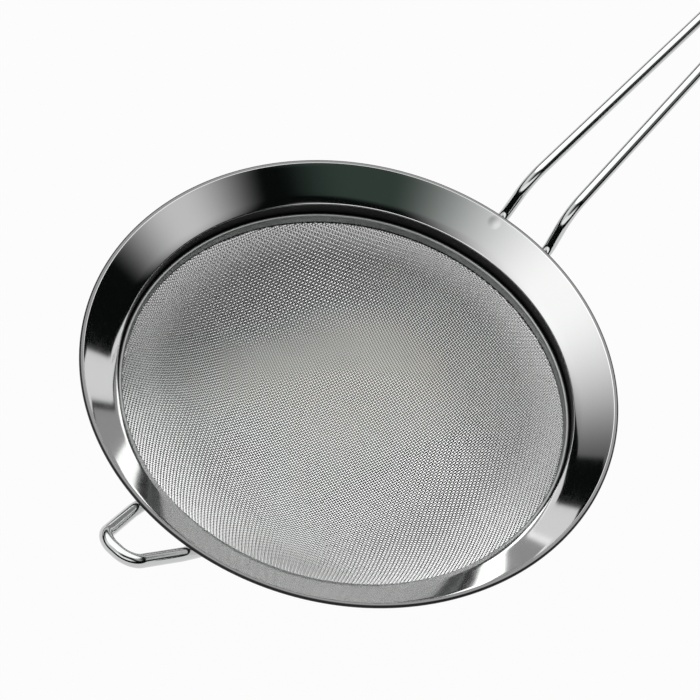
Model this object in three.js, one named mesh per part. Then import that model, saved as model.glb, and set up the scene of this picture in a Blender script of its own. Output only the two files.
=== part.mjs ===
// A round fine-mesh kitchen strainer in stainless steel.
// Millimetres, +Z up. The origin is the middle of the small flat under the wire-mesh bowl,
// +X runs out along the handle and the rest loop points along -X.
import * as THREE from 'three';

// Rim: one spun sheet with a narrow lip, a conical flare, a slightly steeper throat, an upright collar
// and a flat seat.
const rimRadius = 120;
const rimWidth = 17.8;
const rimSheet = 0.8;
const lipWidth = 2;
const lipDrop = 1.3;
const lipRollRadius = 0.95;
const lipBendRadius = 1.6;
const flareDepth = 8.3;
const shoulderRadius = 12;
const throatSlopeAngle = 40;
const throatDrop = 3;
const throatBendRadius = 1.2;
const seatDepth = 21.6;
const seatBendRadius = 0.6;
const seatWidth = 2.2;

// Mesh bowl: wire cloth pressed to a dish, with its edge flattened on the seat.
const meshThickness = 0.8;
const bowlDepth = 43.9;
const bowlFlatRadius = 12;
const bowlFullness = 2.45;

// Clamp ring: a pressed angle ring whose leg traps the edge of the cloth.
const ringHeight = 4.1;
const ringSheet = 0.8;
const ringBendRadius = 1.1;

// Clearances between pieces that are pressed or welded together.
const seatClearance = 0.4;
const stackGap = 0.05;
const weldGap = 0.3;

// Handle: one round rod bent double, with both ends welded under the flare.
const handleRod = 5.4;
const handleRootSpan = 26.6;
const handleKneeSpan = 24.7;
const handleEndSpan = 12.3;
const handleEndFlat = 0.6;
const handleRootRadius = 8;
const handleStandoff = 20.3;
const handleStandoffAngle = 58;
const handleKneeRadius = 22;
const handleLength = 190;
const handleRiseAngle = 17.9;

// Rest loop: a short rod bent to a U, opposite the handle.
const loopRod = 6;
const loopRootSpan = 34;
const loopBendSpan = 29;
const loopTipSpan = 16.7;
const loopTipFlat = 3;
const loopRootRadius = 20;
const loopLength = 31;
const loopRiseAngle = 29.7;

// Both rods pass this far beyond the lip before they bend.
const lipPassing = 2.4;

// Facets: around the turned pieces, around a rod, along its bends, along the sheet's bends and up the bowl.
const turns = 80;
const rodSides = 12;
const bendStep = THREE.MathUtils.degToRad(15);
const arcStep = THREE.MathUtils.degToRad(22.5);
const bowlRings = 10;

// Levels and radii that follow from the sizes above
const seatTop = bowlDepth;
const rimTop = seatTop + seatDepth;
const collarRadius = rimRadius - rimWidth;
const seatInnerRadius = collarRadius - seatWidth;
const wallRadius = seatInnerRadius - seatClearance;
const ringOuterRadius = collarRadius - seatClearance;

const radians = THREE.MathUtils.degToRad;
const vec2 = (r, z) => new THREE.Vector2(r, z);

// Unit vectors along a line of a given slope and square to it, away from the Z axis.
const outside = (slope) => vec2(Math.sin(slope), -Math.cos(slope));
const along = (slope) => vec2(Math.cos(slope), Math.sin(slope));

// Points of an arc about `centre`, from angle `start` to angle `end`, both included.
function arcPoints(centre, radius, start, end) {
  const count = Math.max(2, Math.ceil(Math.abs(end - start) / arcStep));
  const points = [];
  for (let i = 0; i <= count; i += 1) {
    const angle = start + ((end - start) * i) / count;
    points.push(along(angle).multiplyScalar(radius).add(centre));
  }
  return points;
}

// An open line through `corners`, with each inner corner rounded to the radius of the same turn.
function rounded(corners, radii) {
  const points = [corners[0]];
  radii.forEach((radius, i) => {
    const corner = corners[i + 1];
    const into = corner.clone().sub(corners[i]).normalize();
    const outOf = corners[i + 2].clone().sub(corner).normalize();
    const turn = Math.atan2(into.cross(outOf), into.dot(outOf));
    const start = corner.clone().addScaledVector(into, -radius * Math.tan(Math.abs(turn) / 2));
    const toCentre = vec2(-into.y, into.x).multiplyScalar(Math.sign(turn) * radius);
    const from = toCentre.clone().negate().angle();
    points.push(...arcPoints(start.clone().add(toCentre), radius, from, from + turn));
  });
  points.push(corners[corners.length - 1]);
  return points;
}

// Offsets an open line of points sideways by `distance`, to the right of its run.
function offsetLine(points, distance) {
  return points.map((point, i) => {
    const before = points[Math.max(i - 1, 0)];
    const after = points[Math.min(i + 1, points.length - 1)];
    const into = i > 0 ? point.clone().sub(before).normalize() : after.clone().sub(point).normalize();
    const outOf = i < points.length - 1 ? after.clone().sub(point).normalize() : into;
    const run = into.clone().add(outOf).normalize();
    const stretch = 1 / run.dot(into);
    return vec2(run.y, -run.x).multiplyScalar(distance * stretch).add(point);
  });
}

// Closed outline of a sheet whose upper face follows `face`, counter-clockwise in the (r, z) plane.
function sheetOutline(face, thickness) {
  return [...offsetLine(face, thickness), ...face.toReversed()];
}

// Turns a closed (r, z) outline about the Z axis.
function turned(outline) {
  const geometry = new THREE.LatheGeometry([...outline, outline[0].clone()], turns);
  geometry.rotateX(Math.PI / 2);
  return geometry;
}

// Corners of the rim's upper face, before they are rounded
const throatSlope = radians(throatSlopeAngle);
const shoulderReach = collarRadius + throatDrop / Math.tan(throatSlope);
const shoulder = vec2(shoulderReach, rimTop - flareDepth);
const flareTop = vec2(rimRadius - lipWidth, rimTop);
const lipEdge = vec2(rimRadius, rimTop - lipDrop);

// The spun rim: seat, collar, throat, shoulder, flare, lip and the lip's turned-down edge.
function rimGeometry() {
  const corners = [
    vec2(seatInnerRadius, seatTop),
    vec2(collarRadius, seatTop),
    vec2(collarRadius, rimTop - flareDepth - throatDrop),
    shoulder,
    flareTop,
    vec2(rimRadius, rimTop),
    lipEdge,
  ];
  const bends = [seatBendRadius, throatBendRadius, shoulderRadius, lipBendRadius, lipRollRadius];
  const face = rounded(corners, bends);
  return turned(sheetOutline(face, rimSheet));
}

// The bowl: a flat middle, a wall that steepens to the seat, and a flat edge trapped under the ring.
function bowlGeometry() {
  const lower = [vec2(0, 0)];
  for (let i = 0; i <= bowlRings; i += 1) {
    const share = i / bowlRings;
    const radius = THREE.MathUtils.lerp(bowlFlatRadius, wallRadius, share);
    lower.push(vec2(radius, seatTop * share ** bowlFullness));
  }
  lower.push(vec2(ringOuterRadius - seatClearance, seatTop));
  lower.forEach((point) => point.setY(point.y + meshLift(point)));
  const upper = offsetLine(lower, -meshThickness);
  upper[0].setX(0);
  const geometry = new THREE.LatheGeometry([...lower, ...upper.reverse()], turns);
  geometry.rotateX(Math.PI / 2);
  return geometry;
}

// Only the clamped edge is lifted clear of the seat: the middle of the bowl stays at the origin's level.
function meshLift(point) {
  return (stackGap * point.y) / seatTop;
}

// The clamp ring: an upright leg on the edge of the cloth, and a flange that covers the seat.
function ringGeometry() {
  const bottom = seatTop + stackGap + meshThickness + stackGap;
  const top = bottom + ringHeight;
  const corners = [vec2(wallRadius, bottom), vec2(wallRadius, top), vec2(ringOuterRadius, top)];
  return turned(sheetOutline(rounded(corners, [ringBendRadius]), ringSheet));
}

// A bend in a rod: a circular arc that leaves `start` along `heading` and turns towards `side`.
class Bend extends THREE.Curve {
  constructor(start, heading, side, radius, angle) {
    super();
    this.centre = start.clone().addScaledVector(side, radius);
    this.out = side.clone().multiplyScalar(-radius);
    this.ahead = heading.clone().multiplyScalar(radius);
    this.angle = angle;
  }

  getPoint(t, target = new THREE.Vector3()) {
    const turn = this.angle * t;
    return target
      .copy(this.centre)
      .addScaledVector(this.out, Math.cos(turn))
      .addScaledVector(this.ahead, Math.sin(turn));
  }
}

// The middle line of a bent rod: straight stretches joined by bends, with facets spent on the bends.
class RodPath extends THREE.Curve {
  constructor(corners, radii) {
    super();
    this.stretches = [];
    let from = corners[0];
    for (let i = 1; i < corners.length - 1; i += 1) {
      const heading = corners[i].clone().sub(corners[i - 1]).normalize();
      const leaving = corners[i + 1].clone().sub(corners[i]).normalize();
      const angle = heading.angleTo(leaving);
      const reach = radii[i - 1] * Math.tan(angle / 2);
      const start = corners[i].clone().addScaledVector(heading, -reach);
      const side = leaving.clone().addScaledVector(heading, -Math.cos(angle)).normalize();
      const bendSteps = Math.max(2, Math.round(angle / bendStep));
      this.add(new THREE.LineCurve3(from, start), 1);
      this.add(new Bend(start, heading, side, radii[i - 1], angle), bendSteps);
      from = corners[i].clone().addScaledVector(leaving, reach);
    }
    this.add(new THREE.LineCurve3(from, corners[corners.length - 1]), 1);
    this.steps = this.stretches.reduce((sum, stretch) => sum + stretch.steps, 0);
  }

  add(curve, steps) {
    this.stretches.push({ curve, steps });
  }

  // Equal shares of the parameter are facet steps, not equal lengths.
  getUtoTmapping(u) {
    return u;
  }

  getPoint(t, target = new THREE.Vector3()) {
    let left = t * this.steps;
    const last = this.stretches[this.stretches.length - 1];
    for (const stretch of this.stretches) {
      if (left <= stretch.steps || stretch === last) {
        return stretch.curve.getPoint(left / stretch.steps, target);
      }
      left -= stretch.steps;
    }
    return target;
  }
}

function rodGeometry(path, diameter) {
  const section = new THREE.Shape();
  section.absarc(0, 0, diameter / 2, 0, 2 * Math.PI);
  return new THREE.ExtrudeGeometry(section, {
    steps: path.steps,
    curveSegments: rodSides / 2,
    bevelEnabled: false,
    extrudePath: path,
  });
}

// The first stretch of a rod lies under the rim, near the flare's foot at its tail and near the lip's edge.
// Returns the tail and the first bend of one leg that runs out along +X, with its legs `span` apart.
function rodRoot(diameter, span) {
  const flare = flareTop.clone().sub(shoulder).angle();
  const shoulderTurn = throatSlope - flare;
  const flareFoot = shoulder
    .clone()
    .addScaledVector(along(flare), shoulderRadius * Math.tan(Math.abs(shoulderTurn) / 2))
    .addScaledVector(outside(flare), rimSheet);
  const slope = lipEdge.clone().sub(flareFoot).angle();
  const below = outside(slope).multiplyScalar(weldGap + diameter / 2);
  const tail = flareFoot.clone().add(below);
  const bend = lipEdge.clone().add(below).addScaledVector(along(slope), lipPassing);
  const inset = lipEdge.x - Math.sqrt(lipEdge.x ** 2 - (span / 2) ** 2);
  return [
    new THREE.Vector3(tail.x - inset, span / 2, tail.y),
    new THREE.Vector3(bend.x - inset, span / 2, bend.y),
  ];
}

// The next corner of a leg: `length` further on, climbing at `angle`, where its legs are `span` apart.
function nextCorner(from, length, angle, span) {
  const run = along(radians(angle)).multiplyScalar(length);
  return new THREE.Vector3(from.x + run.x, span / 2, from.z + run.y);
}

// Mirrors one half of a rod's corners to the other side of the XZ plane.
function mirrored(half) {
  const other = half.map((corner) => corner.clone().multiply(new THREE.Vector3(1, -1, 1)));
  return [...half, ...other.reverse()];
}

// A rod bent double: `leg` holds the corners of one leg up to the end, `radii` the bends before the end.
// The end's two bends leave a straight of length `endFlat` between them.
function hairpin(diameter, leg, radii, endFlat) {
  const [before, end] = leg.slice(-2);
  const turn = end.clone().sub(before).angleTo(new THREE.Vector3(0, -1, 0));
  const endRadius = (2 * end.y - endFlat) / 2 / Math.tan(turn / 2);
  const half = [...radii, endRadius];
  return rodGeometry(new RodPath(mirrored(leg), [...half, ...half.toReversed()]), diameter);
}

function handleGeometry() {
  const root = rodRoot(handleRod, handleRootSpan);
  const knee = nextCorner(root[1], handleStandoff, handleStandoffAngle, handleKneeSpan);
  const end = nextCorner(knee, handleLength, handleRiseAngle, handleEndSpan);
  return hairpin(handleRod, [...root, knee, end], [handleRootRadius, handleKneeRadius], handleEndFlat);
}

function loopGeometry() {
  const [tail, bend] = rodRoot(loopRod, loopRootSpan);
  bend.setY(loopBendSpan / 2);
  const tip = nextCorner(bend, loopLength, loopRiseAngle, loopTipSpan);
  const geometry = hairpin(loopRod, [tail, bend, tip], [loopRootRadius], loopTipFlat);
  geometry.rotateZ(Math.PI);
  return geometry;
}

function steel(color, roughness) {
  return new THREE.MeshStandardMaterial({ color, roughness, metalness: 1 });
}

const polished = steel(0xd9dcdc, 0.1);
const satin = steel(0xb9bcbb, 0.4);
const cloth = steel(0xa9acab, 0.35);

function piece(name, geometry, material) {
  const mesh = new THREE.Mesh(geometry, material);
  mesh.name = name;
  return mesh;
}

const strainer = new THREE.Group();
strainer.add(
  piece('rim', rimGeometry(), polished),
  piece('mesh_bowl', bowlGeometry(), cloth),
  piece('clamp_ring', ringGeometry(), satin),
  piece('handle_rod', handleGeometry(), polished),
  piece('rest_loop', loopGeometry(), polished),
);

export default strainer;
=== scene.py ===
import math

import bmesh
import bpy
from mathutils import Matrix, Vector


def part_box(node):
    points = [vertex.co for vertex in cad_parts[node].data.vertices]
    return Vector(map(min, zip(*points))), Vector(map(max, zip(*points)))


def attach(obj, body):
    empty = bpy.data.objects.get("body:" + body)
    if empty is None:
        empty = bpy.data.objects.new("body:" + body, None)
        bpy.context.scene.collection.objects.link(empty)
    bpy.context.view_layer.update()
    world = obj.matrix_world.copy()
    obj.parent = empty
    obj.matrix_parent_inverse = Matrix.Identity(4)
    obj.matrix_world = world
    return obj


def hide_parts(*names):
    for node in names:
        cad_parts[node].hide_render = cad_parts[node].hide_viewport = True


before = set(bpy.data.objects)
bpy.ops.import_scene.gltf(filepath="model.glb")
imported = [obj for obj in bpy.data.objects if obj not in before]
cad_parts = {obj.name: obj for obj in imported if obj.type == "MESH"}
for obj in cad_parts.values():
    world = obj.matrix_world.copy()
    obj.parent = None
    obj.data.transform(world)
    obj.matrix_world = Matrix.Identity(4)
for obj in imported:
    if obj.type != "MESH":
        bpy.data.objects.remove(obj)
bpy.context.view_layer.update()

# Rim: one disc of stainless sheet, spun to a narrow lip, a conical flare with a slightly steeper throat,
# an upright collar and a flat seat for the cloth. The flare is polished to a mirror and the lip's edge is
# ground, with its colour darkened as painted shade. The wheel doesn't reach the inside of the collar, which
# stays dull; its colour is darkened almost to black as painted shade of the recess.
rim_low, rim_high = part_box("rim")
rim_radius = rim_high[0]
rim_top = rim_high[2]
rim_sheet = 0.0008
seat_top = rim_low[2] + rim_sheet
collar_radius = rim_radius - 0.0178
seat_inner_radius = collar_radius - 0.0022
lip_width = 0.0017
lip_drop = 0.0013
flare_depth = 0.0097
shoulder_bend = 0.040
throat_drop = 0.0015
throat_slope = math.radians(40)
seat_bend = 0.0006
throat_bend = 0.0012
lip_bend = 0.0016
lip_roll = 0.00095
weld_radius = 0.1155
weld_below_lip = 0.002
weld_core = 0.0002
weld_reach = 0.0036
handle_rod = 0.0054
flare_rings = 8
shortest_ringed = 0.004
rim_turns = 384
fine_bend = 10
merge_distance = 1e-7
collar_face = 0.00065
ground_width = 0.0019
outer_face_width = 0.00075
mirror_tone = 0.79
collar_painted_shade = 0.95
lip_painted_shade = 0.78
outer_face_darkening = 0.8
mirror_roughness = 0.045
wiped_roughness = 0.05
dull_roughness = 0.4
ground_roughness = 0.1
outer_face_roughness = 0.25
wave_depth = 0.00004
weld_dent = 3
green_tint = 1.01


class Field:
    """A value that varies over a surface: one output of a shader node, with plain arithmetic."""

    def __init__(self, socket):
        self.socket = socket
        self.tree = socket.id_data

    def node(self, kind, settings, inputs, output=0):
        """Adds a node of another kind, with its settings and inputs, and gives one of its outputs."""
        made = self.tree.nodes.new(kind)
        for name, value in settings.items():
            setattr(made, name, value)
        for name, value in inputs.items():
            if isinstance(value, Field):
                self.tree.links.new(value.socket, made.inputs[name])
            else:
                made.inputs[name].default_value = value
        return Field(made.outputs[output])

    def maths(self, operation, *values):
        inputs = dict(enumerate(values))
        return self.node("ShaderNodeMath", {"operation": operation}, inputs)

    def __add__(self, other):
        return self.maths("ADD", self, other)

    __radd__ = __add__

    def __sub__(self, other):
        return self.maths("SUBTRACT", self, other)

    def __rsub__(self, other):
        return self.maths("SUBTRACT", other, self)

    def __mul__(self, other):
        return self.maths("MULTIPLY", self, other)

    __rmul__ = __mul__

    def __truediv__(self, other):
        return self.maths("DIVIDE", self, other)

    def __rtruediv__(self, other):
        return self.maths("DIVIDE", other, self)

    def __pow__(self, other):
        return self.maths("POWER", self, other)

    def ramp(self, low, high):
        """A soft step from 0 at `low` to 1 at `high`."""
        return self.node(
            "ShaderNodeMapRange",
            {"interpolation_type": "SMOOTHSTEP"},
            {"Value": self, "From Min": low, "From Max": high},
        )

    def past(self, border, blur):
        """A soft step from 0 to 1 at `border`, `blur` wide."""
        return self.ramp(border - blur / 2, border + blur / 2)

    def into(self, socket):
        self.tree.links.new(self.socket, socket)


def steel(name):
    """A bare metal material: gives it with its shader and its Object coordinates."""
    material = bpy.data.materials.new(name)
    material.use_nodes = True
    shader = material.node_tree.nodes["Principled BSDF"]
    shader.inputs["Metallic"].default_value = 1
    places = material.node_tree.nodes.new("ShaderNodeTexCoord")
    return material, shader, Field(places.outputs["Object"])


def polar(place):
    """Splits a place into its distance from the bowl's axis, its angle round it and its height."""
    apart = [place.node("ShaderNodeSeparateXYZ", {}, {"Vector": place}, axis) for axis in range(3)]
    x, y, height = apart
    return (x * x + y * y) ** 0.5, x.maths("ARCTAN2", y, x), height


def grain(place, scale, detail=2.0):
    """Soft noise from 0 to 1 at `scale` per metre."""
    return place.node(
        "ShaderNodeTexNoise",
        {"noise_dimensions": "3D"},
        {"Vector": place, "Scale": scale, "Detail": detail},
    )


def vector(x, y, z):
    return x.node("ShaderNodeCombineXYZ", {}, {"X": x, "Y": y, "Z": z})


def raised(height, depth, shader):
    """Feeds a height field into the shader's normal. `depth` is the full height in metres."""
    bump = height.node("ShaderNodeBump", {}, {"Height": height, "Distance": depth, "Strength": 1.0})
    bump.into(shader.inputs["Normal"])


def chained(places):
    """A bmesh with one open line through the places, and its vertices in order."""
    mesh = bmesh.new()
    line = [mesh.verts.new(place) for place in places]
    for start, end in zip(line, line[1:]):
        mesh.edges.new((start, end))
    return mesh, line


def round_corner(mesh, corner, radius, segments):
    """Rounds one corner of an open line to a circular arc."""
    before, after = (edge.other_vert(corner).co - corner.co for edge in corner.link_edges)
    reach = radius / math.tan(before.angle(after) / 2)
    bmesh.ops.bevel(
        mesh, geom=[corner], offset=reach, offset_type="OFFSET", segments=segments,
        profile=0.5, affect="VERTICES", material=-1,
    )


def spun(mesh, turns):
    """Turns everything in the mesh once round the bowl's axis."""
    geometry = mesh.verts[:] + mesh.edges[:]
    bmesh.ops.spin(
        mesh, geom=geometry, cent=(0, 0, 0), axis=(0, 0, 1),
        angle=2 * math.pi, steps=turns, use_merge=True,
    )
    bmesh.ops.remove_doubles(mesh, verts=mesh.verts[:], dist=merge_distance)
    bmesh.ops.recalc_face_normals(mesh, faces=mesh.faces[:])


def upwards(mesh):
    """Turns the faces of an open spun sheet so that its highest one looks up."""
    crest = max(mesh.faces, key=lambda face: face.calc_center_median().z * abs(face.normal.z))
    if crest.normal.z < 0:
        bmesh.ops.reverse_faces(mesh, faces=mesh.faces[:])


def finished(name, mesh, material, node, crease=40):
    """Makes the piece, rides it on the strainer and lets it stand for its CAD node."""
    if isinstance(mesh, bmesh.types.BMesh):
        data = bpy.data.meshes.new(name)
        mesh.to_mesh(data)
        mesh.free()
    else:
        data = mesh
        data.name = name
    data.shade_smooth()
    data.set_sharp_from_angle(angle=math.radians(crease))
    data.materials.clear()
    data.materials.append(material)
    piece = bpy.data.objects.new(name, data)
    bpy.context.scene.collection.objects.link(piece)
    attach(piece, "root")
    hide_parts(node)


shoulder_radius = collar_radius + throat_drop / math.tan(throat_slope)
throat_foot = rim_top - flare_depth - throat_drop
rim_corners = [
    (seat_inner_radius, 0, seat_top),
    (collar_radius, 0, seat_top),
    (collar_radius, 0, throat_foot),
    (shoulder_radius, 0, rim_top - flare_depth),
    (rim_radius - lip_width, 0, rim_top),
    (rim_radius, 0, rim_top),
    (rim_radius, 0, rim_top - lip_drop),
]
corner_radii = [seat_bend, throat_bend, shoulder_bend, lip_bend, lip_roll]
rim_mesh, rim_line = chained(rim_corners)
for corner, radius in zip(rim_line[1:-1], corner_radii):
    round_corner(rim_mesh, corner, radius, fine_bend)
long_edges = [edge for edge in rim_mesh.edges if edge.calc_length() > shortest_ringed]
bmesh.ops.subdivide_edges(rim_mesh, edges=long_edges, cuts=flare_rings)
spun(rim_mesh, rim_turns)
upwards(rim_mesh)
bmesh.ops.solidify(rim_mesh, geom=rim_mesh.faces[:], thickness=rim_sheet)

rim_steel, rim_shader, place = steel("mirror_steel")
radius, angle, height = polar(place)
spin_marks = grain(vector(radius * 60, angle * 0.6, height * 60), 60)
wipe_marks = grain(place, 220, 4)
inside = 1 - radius.past(collar_radius + collar_face, blur=0.0002)
# The collar below the throat is rough, and its colour is darkened almost to black there as painted shade.
dull_and_painted_shade = inside * (1 - height.past(throat_foot, blur=0.001))
# The lip is ground, and its colour is darkened as painted shade.
ground_and_shaded_lip = radius.past(rim_radius - ground_width, blur=0.0004)
# The lip's outer face is made rougher and its colour is darkened almost to black.
darkened_outer_face = radius.past(rim_radius - outer_face_width, blur=0.0003)
rim_roughness = mirror_roughness + wiped_roughness * spin_marks * wipe_marks + dull_roughness * dull_and_painted_shade
rim_roughness = rim_roughness + ground_roughness * ground_and_shaded_lip + outer_face_roughness * darkened_outer_face
rim_roughness.into(rim_shader.inputs["Roughness"])
# The darkening of the collar and of the lip is painted shade.
rim_tone = mirror_tone * (1 - collar_painted_shade * dull_and_painted_shade)
rim_tone = rim_tone * (1 - lip_painted_shade * ground_and_shaded_lip) * (1 - outer_face_darkening * darkened_outer_face)
vector(rim_tone, rim_tone * green_tint, rim_tone).into(rim_shader.inputs["Base Color"])
weld_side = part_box("handle_rod")[1][1] - handle_rod / 2
weld = (math.sqrt(weld_radius**2 - weld_side**2), weld_side, rim_top - weld_below_lip)
from_weld = place.node("ShaderNodeVectorMath", {"operation": "DISTANCE"}, {0: place, 1: weld}, "Value")
weld_mark = 1 - from_weld.ramp(weld_core, weld_reach)
sheet_waves = grain(place, 18, 1)
raised(sheet_waves - weld_dent * weld_mark, wave_depth, rim_shader)
finished("spun_rim", rim_mesh, rim_steel, "rim")

# Cloth: plain-woven stainless wire, rolled so that its knuckles are flat, then pressed to a dish. The wires
# keep their spacing and shear over each other, so the square weave turns to diamonds up the sides.
bowl_low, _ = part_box("mesh_bowl")
cloth_thickness = 0.0008
wire = cloth_thickness / 2
pitch = 0.00122
bowl_flat_radius = 0.012
bowl_fullness = 2.45
bowl_wall_radius = seat_inner_radius - 0.0004
bowl_wall_width = bowl_wall_radius - bowl_flat_radius
cloth_reach = bowl_wall_radius + 0.0018
bowl_depth = seat_top - bowl_low[2]
weave_turn = math.radians(-16.5)
knuckle = 0.4
flattened = 1.3
wire_bundles = 3
knuckle_tone = 0.95
knuckle_lift = 0.8
# Colour of the wire in the valleys under the crossings: painted shade.
valley_shade_tone = 0.06
valley_lift = 0.35
wire_roughness = 0.36
scuffed_roughness = 0.12
scuff_depth = 0.000004
net_rounds = 6
halvings = 30
nearly_nothing = 1e-9
nearly_flat = 0.0001


def dish(radius):
    """Height and steepness of the middle of the cloth at a distance from the axis."""
    share = (min(radius, bowl_wall_radius) - bowl_flat_radius) / bowl_wall_width
    if share <= 0:
        return wire, 0.0
    steepness = bowl_depth * bowl_fullness * share ** (bowl_fullness - 1) / bowl_wall_width
    if radius > bowl_wall_radius:
        steepness = 0.0
    return wire + bowl_depth * share**bowl_fullness, steepness


def on_dish(x, y):
    return Vector((x, y, dish(math.hypot(x, y))[0]))


def upright(place):
    """The direction square to the cloth at a place, away from the table."""
    radius = math.hypot(place.x, place.y)
    steepness = dish(radius)[1] / max(radius, nearly_nothing)
    return Vector((-place.x * steepness, -place.y * steepness, 1)).normalized()


def next_crossing(left, right, corner):
    """The crossing that is one pitch along the cloth from both `left` and `right`, away from `corner`."""
    x, y = left.x + right.x - corner.x, left.y + right.y - corner.y
    for _ in range(net_rounds):
        height, steepness = dish(math.hypot(x, y))
        lean = steepness / max(math.hypot(x, y), nearly_nothing)
        rows = []
        for known in (left, right):
            away = Vector((x, y, height)) - known
            rows.append((
                2 * (away.x + away.z * lean * x),
                2 * (away.y + away.z * lean * y),
                away.length_squared - pitch * pitch,
            ))
        (a, b, e), (c, d, f) = rows
        scale = a * d - b * c
        x -= (e * d - b * f) / scale
        y -= (a * f - e * c) / scale
    return on_dish(x, y)


straight_wire = [on_dish(0, 0)]
while straight_wire[-1].x < cloth_reach:
    start = straight_wire[-1]
    low, high = 0.0, pitch
    for _ in range(halvings):
        run = (low + high) / 2
        if math.hypot(run, dish(start.x + run)[0] - start.z) < pitch:
            low = run
        else:
            high = run
    straight_wire.append(on_dish(start.x + run, 0))

crossings = [straight_wire, *([Vector((0, place.x, place.z))] for place in straight_wire[1:])]
for row in range(1, len(crossings)):
    for column in range(1, len(straight_wire)):
        if column >= len(crossings[row - 1]):
            break
        left, right = crossings[row - 1][column], crossings[row][column - 1]
        crossing = next_crossing(left, right, crossings[row - 1][column - 1])
        if math.hypot(crossing.x, crossing.y) > cloth_reach:
            break
        crossings[row].append(crossing)


def wire_line(row, along_rows, over):
    """The middle line of one wire: it rides over and under the wires that it crosses."""
    if along_rows:
        half = crossings[abs(row)]
    else:
        half = [line[abs(row)] for line in crossings if len(line) > abs(row)]
    flip = -1 if row < 0 else 1
    sides = []
    for way in (-1, 1):
        mirror = Vector((way, flip, 1)) if along_rows else Vector((flip, way, 1))
        sides.append([place * mirror for place in half])
    middle = [*reversed(sides[0][1:]), *sides[1]]
    line = []
    for index, place in enumerate(middle):
        step = index - (len(sides[0]) - 1)
        rise = wire / 2 if (step + row) % 2 == over else -wire / 2
        lift = upright(place) * rise
        before = middle[max(index - 1, 0)]
        after = middle[min(index + 1, len(middle) - 1)]
        line.append(place.lerp(before, knuckle) + lift)
        line.append(place.lerp(after, knuckle) + lift)
    return line


wire_steel, wire_shader, place = steel("woven_wire")
(wire_roughness + scuffed_roughness * grain(place, 900, 3)).into(wire_shader.inputs["Roughness"])
radius, angle, height = polar(place)
share = (radius - bowl_flat_radius) / bowl_wall_width
share = share.maths("MAXIMUM", share.maths("MINIMUM", share, 1), nearly_flat)
steepness = bowl_depth * bowl_fullness / bowl_wall_width * share ** (bowl_fullness - 1)
middle_height = wire + bowl_depth * share**bowl_fullness
lift = (height - middle_height) / (1 + steepness * steepness) ** 0.5 / wire
# The wire's colour darkens where it dips under the wires that it crosses: painted shade between the wires.
valley_shade_ramp = lift.maths("ABSOLUTE", lift).ramp(valley_lift, knuckle_lift)
wire_tone = valley_shade_tone + (knuckle_tone - valley_shade_tone) * valley_shade_ramp
vector(wire_tone, wire_tone * green_tint, wire_tone).into(wire_shader.inputs["Base Color"])
raised(grain(place, 2600, 2), scuff_depth, wire_shader)
reach = len(crossings) - 1
turn = Matrix.Rotation(weave_turn, 3, "Z")
for name, along_rows, over in (("warp", True, 0), ("weft", False, 1)):
    for part in range(wire_bundles):
        bundle = bpy.data.curves.new(f"{name}_bundle", "CURVE")
        bundle.dimensions = "3D"
        bundle.bevel_depth = wire / 2 * flattened
        bundle.bevel_resolution = 0
        bundle.twist_mode = "Z_UP"
        bundle.use_fill_caps = True
        for row in range(-reach, reach + 1):
            if row % wire_bundles != part:
                continue
            line = wire_line(row, along_rows, over)
            strand = bundle.splines.new("POLY")
            strand.points.add(len(line) - 1)
            for point, middle in zip(strand.points, line):
                point.co = (*(turn @ middle), 1)
                point.tilt = math.pi / 4
        draft = bpy.data.objects.new(f"{name}_draft", bundle)
        bpy.context.scene.collection.objects.link(draft)
        shown = draft.evaluated_get(bpy.context.evaluated_depsgraph_get())
        tubes = bpy.data.meshes.new_from_object(shown)
        bpy.data.objects.remove(draft)
        finished(f"{name}_wires_{part + 1}", tubes, wire_steel, "mesh_bowl", 20)

# Clamp ring: a satin stainless strip rolled to an angle with a rounded top, pressed into the collar
# so that its leg stands on the cloth's edge. It is brushed round.
ring_low, ring_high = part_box("clamp_ring")
ring_inner_radius = bowl_wall_radius
ring_outer_radius = ring_high[0]
ring_bend = 0.00105
ring_sheet = 0.0008
ring_drop = 0.0014
satin_colour = (0.27, 0.28, 0.275, 1)
satin_roughness = 0.3
brushed_roughness = 0.14
brushing_depth = 0.00003
ring_corners = [
    (ring_inner_radius, 0, ring_low[2]),
    (ring_inner_radius, 0, ring_high[2]),
    (ring_outer_radius, 0, ring_high[2]),
    (ring_outer_radius, 0, ring_high[2] - ring_drop),
]
ring_mesh, ring_line = chained(ring_corners)
for corner in ring_line[1:-1]:
    round_corner(ring_mesh, corner, ring_bend, fine_bend)
spun(ring_mesh, rim_turns)
upwards(ring_mesh)
bmesh.ops.solidify(ring_mesh, geom=ring_mesh.faces[:], thickness=ring_sheet)
ring_steel, ring_shader, place = steel("satin_strip")
ring_shader.inputs["Base Color"].default_value = satin_colour
radius, angle, height = polar(place)
brushing = grain(vector(radius * 40, angle * 1.2, height * 40), 160, 3)
(satin_roughness + brushed_roughness * brushing).into(ring_shader.inputs["Roughness"])
raised(brushing, brushing_depth, ring_shader)
finished("clamp_band", ring_mesh, ring_steel, "clamp_ring")

# Handle: one drawn and polished rod, bent double. Both tails lie under the flare, where they are
# spot-welded; the rod passes the lip, climbs away from it and then runs out level with the hand.
_, handle_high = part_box("handle_rod")
handle_root_span = 2 * handle_high[1] - handle_rod
handle_knee_span = 0.0247
handle_end_span = 0.0123
handle_end_flat = 0.0006
handle_length = 0.190
handle_rise = 17.9
handle_climb = 0.0203
climb_rise = 58
root_bend = 0.008
knee_bend = 0.022
weld_gap = 0.0003
lip_passing = 0.0024
rod_sides = 14
rod_colour = (0.56, 0.57, 0.565, 1)
rod_roughness = 0.06
drawn_roughness = 0.09
rod_wave_depth = 0.00003


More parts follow.
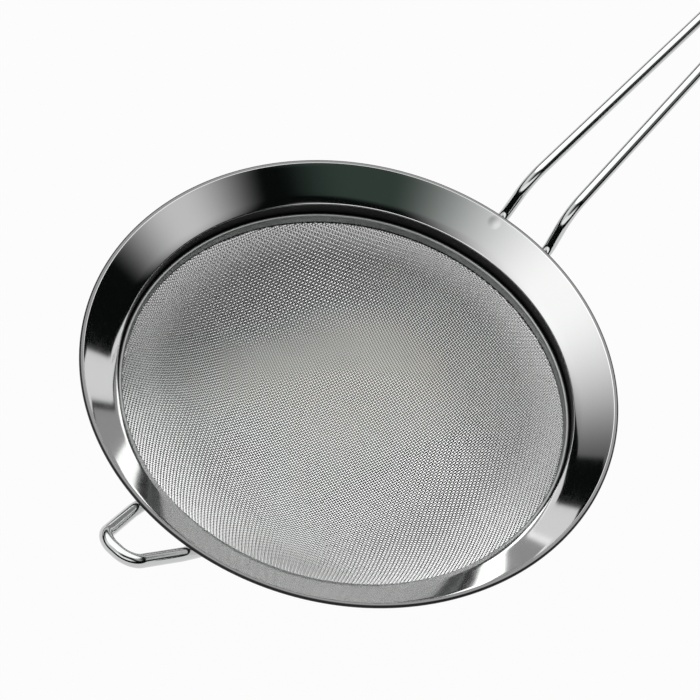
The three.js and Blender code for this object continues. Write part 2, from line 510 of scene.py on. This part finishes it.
def leg_root(rod, span):
    """Tail and first bend of one leg: it lies between the flare's foot and the lip's edge."""
    flare = Vector((rim_radius - lip_width - shoulder_radius, flare_depth))
    slope = math.atan2(flare.y, flare.x)
    foot = shoulder_bend * math.tan((throat_slope - slope) / 2)
    under = Vector((math.sin(slope), -math.cos(slope))) * rim_sheet
    tail = Vector((shoulder_radius, rim_top - flare_depth)) + flare.normalized() * foot + under
    lip = Vector((rim_radius, rim_top - lip_drop))
    way = (lip - tail).normalized()
    below = Vector((way.y, -way.x)) * (weld_gap + rod / 2)
    bend = lip + way * lip_passing
    inset = rim_radius - math.sqrt(rim_radius**2 - (span / 2) ** 2)
    return [Vector((end.x + below.x - inset, span / 2, end.y + below.y)) for end in (tail, bend)]


def further(start, length, rise, span):
    """The next corner of a leg, `length` on and climbing at `rise` degrees."""
    angle = math.radians(rise)
    return Vector((
        start.x + length * math.cos(angle), span / 2, start.z + length * math.sin(angle)
    ))


def bent_rod(leg, radii, end_flat, rod):
    """A rod bent double about the XZ plane through the corners of one leg."""
    other = [corner * Vector((1, -1, 1)) for corner in reversed(leg)]
    mesh, line = chained([*leg, *other])
    lean = (leg[-1] - leg[-2]).angle(Vector((0, -1, 0)))
    end_radius = (leg[-1].y - end_flat / 2) / math.tan(lean / 2)
    half = [*radii, end_radius]
    for corner, radius in zip(line[1:-1], [*half, *reversed(half)]):
        round_corner(mesh, corner, radius, fine_bend * 2)
    vertex = next(vert for vert in mesh.verts if len(vert.link_edges) == 1 and vert.co.y > 0)
    walk = [vertex]
    edge = None
    while True:
        ahead = [other for other in vertex.link_edges if other is not edge]
        if not ahead:
            break
        edge = ahead[0]
        vertex = edge.other_vert(vertex)
        walk.append(vertex)
    places = [vert.co.copy() for vert in walk]
    mesh.free()
    bundle = bpy.data.curves.new("rod_draft", "CURVE")
    bundle.dimensions = "3D"
    bundle.bevel_depth = rod / 2
    bundle.bevel_resolution = rod_sides
    strand = bundle.splines.new("POLY")
    strand.points.add(len(places) - 1)
    for point, middle in zip(strand.points, places):
        point.co = (*middle, 1)
    draft = bpy.data.objects.new("rod_draft", bundle)
    bpy.context.scene.collection.objects.link(draft)
    shown = draft.evaluated_get(bpy.context.evaluated_depsgraph_get())
    tube = bmesh.new()
    tube.from_mesh(bpy.data.meshes.new_from_object(shown))
    bpy.data.objects.remove(draft)
    bmesh.ops.remove_doubles(tube, verts=tube.verts[:], dist=merge_distance)
    open_edges = [edge for edge in tube.edges if edge.is_boundary]
    caps = bmesh.ops.holes_fill(tube, edges=open_edges, sides=0)["faces"]
    bmesh.ops.recalc_face_normals(tube, faces=tube.faces[:])
    bmesh.ops.bevel(
        tube, geom=list({edge for cap in caps for edge in cap.edges}), offset=rod / 10,
        offset_type="OFFSET", segments=4, profile=0.5, affect="EDGES", material=-1,
    )
    return tube


root = leg_root(handle_rod, handle_root_span)
knee = further(root[1], handle_climb, climb_rise, handle_knee_span)
handle_end = further(knee, handle_length, handle_rise, handle_end_span)
handle_corners = [*root, knee, handle_end]
handle_mesh = bent_rod(handle_corners, [root_bend, knee_bend], handle_end_flat, handle_rod)
rod_steel, rod_shader, place = steel("polished_rod")
rod_shader.inputs["Base Color"].default_value = rod_colour
draw_lines = place.node("ShaderNodeMapping", {}, {"Vector": place, "Scale": (40, 900, 900)})
(rod_roughness + drawn_roughness * grain(draw_lines, 1, 3)).into(rod_shader.inputs["Roughness"])
raised(grain(place, 90, 2), rod_wave_depth, rod_shader)
finished("handle", handle_mesh, rod_steel, "handle_rod")

# Rest loop: a short, slightly thicker rod bent to a U and welded under the flare opposite the handle.
# It hooks over the edge of a pot.
loop_rod = 0.006
loop_root_span = 0.034
loop_bend_span = 0.029
loop_tip_span = 0.0167
loop_length = 0.031
loop_rise = 29.7
loop_bend = 0.020
loop_end_flat = 0.003
tail, bend = leg_root(loop_rod, loop_root_span)
bend.y = loop_bend_span / 2
tip = further(bend, loop_length, loop_rise, loop_tip_span)
loop_mesh = bent_rod([tail, bend, tip], [loop_bend], loop_end_flat, loop_rod)
bmesh.ops.rotate(
    loop_mesh, verts=loop_mesh.verts[:], cent=(0, 0, 0), matrix=Matrix.Rotation(math.pi, 3, "Z")
)
finished("rest_loop_rod", loop_mesh, rod_steel, "rest_loop")

# Floor: a plain table. Under the bowl it keeps the shadow and its colour is dark grey as painted shadow, so
# that the gaps of the weave look dark. Further out it fades to white.
floor_size = 6.0
# Dark grey of the floor under the bowl: painted shadow.
floor_shadow_colour = (0.09, 0.091, 0.09, 1)
far_side = Vector((0.872, 0.489, 0))
left_side = Vector((-0.489, 0.872, 0))
shade_offset = 0.035
shade_centre = tuple(far_side * shade_offset)
shade_core = 0.08
shade_edge = 0.1135
floor_white = 0.97
floor_mesh = bmesh.new()
bmesh.ops.create_grid(floor_mesh, x_segments=4, y_segments=4, size=floor_size)
floor_data = bpy.data.meshes.new("floor")
floor_mesh.to_mesh(floor_data)
floor_mesh.free()
floor = bpy.data.objects.new("floor", floor_data)
bpy.context.scene.collection.objects.link(floor)
floor_paint = bpy.data.materials.new("pale_table")
floor_paint.use_nodes = True
floor_tree = floor_paint.node_tree
floor_tree.nodes.remove(floor_tree.nodes["Principled BSDF"])
place = Field(floor_tree.nodes.new("ShaderNodeTexCoord").outputs["Object"])
# The dark grey of this diffuse floor, seen under the bowl, is painted shadow.
matt = place.node("ShaderNodeBsdfDiffuse", {}, {"Color": floor_shadow_colour})
glow = place.node("ShaderNodeEmission", {}, {"Color": (1, 1, 1, 1), "Strength": 1.0})
path = floor_tree.nodes.new("ShaderNodeLightPath").outputs
seen = Field(path["Is Camera Ray"]) + Field(path["Is Glossy Ray"]) + Field(path["Is Transmission Ray"])
away = place.node("ShaderNodeVectorMath", {"operation": "DISTANCE"}, {0: place, 1: shade_centre}, "Value")
white_share = away.ramp(shade_core, shade_edge) * floor_white * seen.maths("MINIMUM", seen, 1)
table = place.node("ShaderNodeMixShader", {}, {0: white_share, 1: matt, 2: glow})
table.into(floor_tree.nodes["Material Output"].inputs["Surface"])
floor_data.materials.append(floor_paint)

# Studio: a large soft light above and behind, a white panel on the left, a smaller one on the right, a low
# fill behind the camera, a pale sweep along the horizon behind the strainer, and a dark room elsewhere.
world = bpy.data.worlds.new("studio")
bpy.context.scene.world = world
world.use_nodes = True
studio = world.node_tree
direction = Field(studio.nodes.new("ShaderNodeTexCoord").outputs["Generated"])
up = Vector((0, 0, 1))
overhead_strength = 1.7
left_strength = 1.16
left_wall_strength = 0.15
right_strength = 0.62
sweep_strength = 0.75
sweep_foot_strength = 0.3
sweep_top = 13.25
sweep_middle = 6.6
sweep_foot = 0.4
sweep_tilt = 2.2
fill_strength = 1.3
ceiling_glow = 0.045
room_glow = 0.003
room_colour = (0.75, 1.1, 0.93, 1)


def towards(vector):
    return direction.node(
        "ShaderNodeVectorMath", {"operation": "DOT_PRODUCT"},
        {0: direction, 1: tuple(vector.normalized())}, "Value",
    )


def degrees_from(vector):
    return towards(vector).maths("ARCCOSINE", towards(vector)) * (180 / math.pi)


def panel(vector, core, edge):
    """A soft light round a direction: full inside `core` degrees and gone at `edge` degrees."""
    return 1 - degrees_from(vector).ramp(core, edge)


def band(value, low, high, blur):
    """1 between two values and 0 outside them, with edges `blur` wide."""
    return value.past(low, blur) * (1 - value.past(high, blur))


elevation = towards(up).maths("ARCSINE", towards(up)) * (180 / math.pi)
overhead = panel(far_side * 0.5 + up * 0.87, core=39, edge=46.5) * elevation.ramp(16, 30)
left_panel = panel(left_side * 0.677 + up * 0.731 - far_side * 0.083, core=3, edge=50)
left_wall = towards(left_side).ramp(0.45, 0.8) * (1 - elevation.ramp(28, 46))
left_light = (left_panel * left_strength + left_wall * left_wall_strength) * elevation.ramp(20, 21)
right_panel = panel(left_side * -0.749 + up * 0.656 + far_side * 0.092, core=1, edge=24)
right_light = right_panel * right_strength * elevation.ramp(22, 24)
tilted = elevation + sweep_tilt * towards(left_side)
sweep = band(tilted, sweep_middle, sweep_top, blur=0.7) * sweep_strength
sweep = sweep + band(elevation, sweep_foot, sweep_middle, blur=0.7) * sweep_foot_strength
backdrop = sweep * towards(far_side).ramp(0.3, 0.5)
fill = band(elevation, 26, 48, blur=4) * towards(-far_side).ramp(0.4, 0.7)
light = overhead * overhead_strength + left_light + right_light + backdrop + fill * fill_strength
ceiling = elevation.ramp(55, 61) * (1 - towards(far_side).ramp(-0.2, 0.1))
room_strength = room_glow + ceiling_glow * ceiling
room = direction.node("ShaderNodeBackground", {}, {"Color": room_colour, "Strength": room_strength})
lights = direction.node("ShaderNodeBackground", {}, {"Color": (1, 1, 1, 1), "Strength": light})
both = direction.node("ShaderNodeAddShader", {}, {0: room, 1: lights})
white = direction.node("ShaderNodeBackground", {}, {"Color": (1, 1, 1, 1)})
camera_ray = Field(studio.nodes.new("ShaderNodeLightPath").outputs["Is Camera Ray"])
sky = direction.node("ShaderNodeMixShader", {}, {0: camera_ray, 1: both, 2: white})
sky.into(studio.nodes["World Output"].inputs["Surface"])

# Camera: looks down into the bowl from the loop's side, rolled so that the handle leaves at the upper right.
# Its height, turn and lens are fitted to the outlines of the rim and the ring.
view_distance = 1.25
view_elevation = math.radians(52.693)
view_azimuth = math.radians(-60.7)
view_roll = math.radians(15.907)
focal_pixels = 2845.39
image_pixels = 700
aim_right = 0.0010824
aim_up = -0.0091162
back = Vector((
    math.sin(view_azimuth) * math.cos(view_elevation),
    -math.cos(view_azimuth) * math.cos(view_elevation),
    math.sin(view_elevation),
))
level = Vector((math.cos(view_azimuth), math.sin(view_azimuth), 0))
rolled = Matrix.Rotation(view_roll, 3, back)
image_right = rolled @ level
image_up = rolled @ back.cross(level)
camera = bpy.data.cameras.new("camera")
camera.sensor_width = 36
camera.lens = camera.sensor_width * focal_pixels / image_pixels
camera.clip_end = 20
viewer = bpy.data.objects.new("camera", camera)
rim_centre = Vector((0, 0, rim_top))
viewer.location = rim_centre + back * view_distance - image_right * aim_right - image_up * aim_up
viewer.rotation_euler = Matrix((image_right, image_up, back)).transposed().to_euler()
bpy.context.scene.collection.objects.link(viewer)
bpy.context.scene.camera = viewer
bpy.context.scene.view_settings.view_transform = "Standard"
